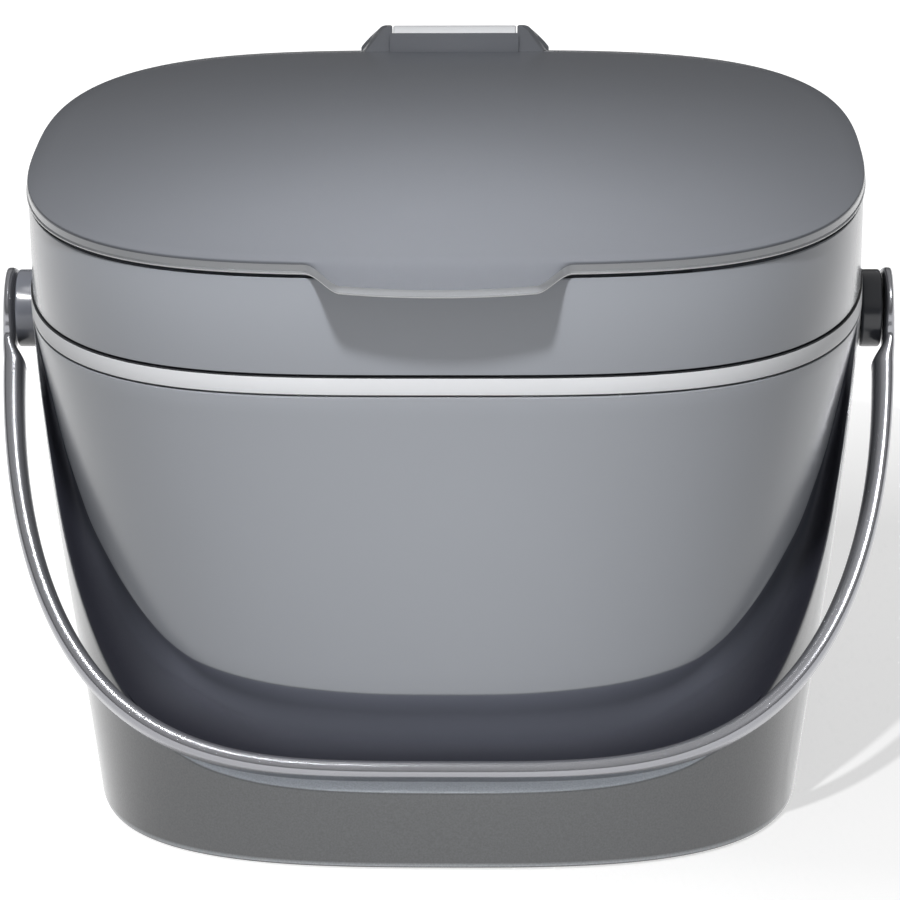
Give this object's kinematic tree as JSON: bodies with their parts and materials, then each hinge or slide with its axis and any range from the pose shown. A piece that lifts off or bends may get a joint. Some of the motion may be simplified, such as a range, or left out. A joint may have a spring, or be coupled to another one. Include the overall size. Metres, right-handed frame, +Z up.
{
  "type": "kitchen compost bin",
  "caption": "Tapered countertop compost bin with a swooping front recess, a hinged lid with a thumb tab, a lift-out bucket and a swing-over bail handle.",
  "frame": {"origin": "on the floor, under the middle of the bin's overall box", "axes": "+X to the right for someone who faces the front, +Y to the back where the lid hinge is, +Z up"},
  "size_m": [0.2014, 0.1874, 0.143],
  "materials": {
    "outer_body": "glossy charcoal grey moulding",
    "base_plate": "charcoal grey moulding",
    "foot_front_left": "dark grey rubber pad",
    "foot_front_right": "dark grey rubber pad",
    "foot_rear_left": "dark grey rubber pad",
    "foot_rear_right": "dark grey rubber pad",
    "inner_bucket": "satin light grey moulding",
    "rim_ring": "glossy pale grey moulding",
    "collar": "glossy charcoal grey moulding",
    "pivot_boss_left": "glossy dark grey moulding",
    "pivot_boss_right": "glossy dark grey moulding",
    "hinge_pin": "plain steel rod",
    "lid_panel": "glossy charcoal grey moulding",
    "lid_liner": "satin charcoal grey moulding",
    "lid_seal": "soft pale silicone",
    "handle_arm_left": "satin metallic grey moulding",
    "handle_arm_right": "satin metallic grey moulding",
    "handle_bar": "satin metallic grey moulding",
    "pivot_pin_left": "plain steel pin",
    "pivot_pin_right": "plain steel pin",
    "pin_retainer_left": "spring steel washer",
    "pin_retainer_right": "spring steel washer"
  },
  "bodies": {
    "bin": {"outer_body": "outer_body", "base_plate": "base_plate", "foot_front_left": "foot_front_left", "foot_front_right": "foot_front_right", "foot_rear_left": "foot_rear_left", "foot_rear_right": "foot_rear_right", "inner_bucket": "inner_bucket", "rim_ring": "rim_ring", "collar": "collar", "pivot_boss_left": "pivot_boss_left", "pivot_boss_right": "pivot_boss_right", "hinge_pin": "hinge_pin"},
    "lid": {"lid_panel": "lid_panel", "lid_liner": "lid_liner", "lid_seal": "lid_seal"},
    "bail": {"handle_arm_left": "handle_arm_left", "handle_arm_right": "handle_arm_right", "handle_bar": "handle_bar", "pivot_pin_left": "pivot_pin_left", "pivot_pin_right": "pivot_pin_right", "pin_retainer_left": "pin_retainer_left", "pin_retainer_right": "pin_retainer_right"}
  },
  "joints": [
    {"name": "lid_hinge", "type": "hinge", "parent": "bin", "child": "lid", "pos_m": [0, 0.0901, 0.1394], "axis": [-1, 0, 0], "range_deg": [0, 100]},
    {"name": "handle_swing", "type": "hinge", "parent": "bin", "child": "bail", "pos_m": [0, 0, 0.1004], "axis": [-1, 0, 0], "range_deg": [0, 266]}
  ]
}
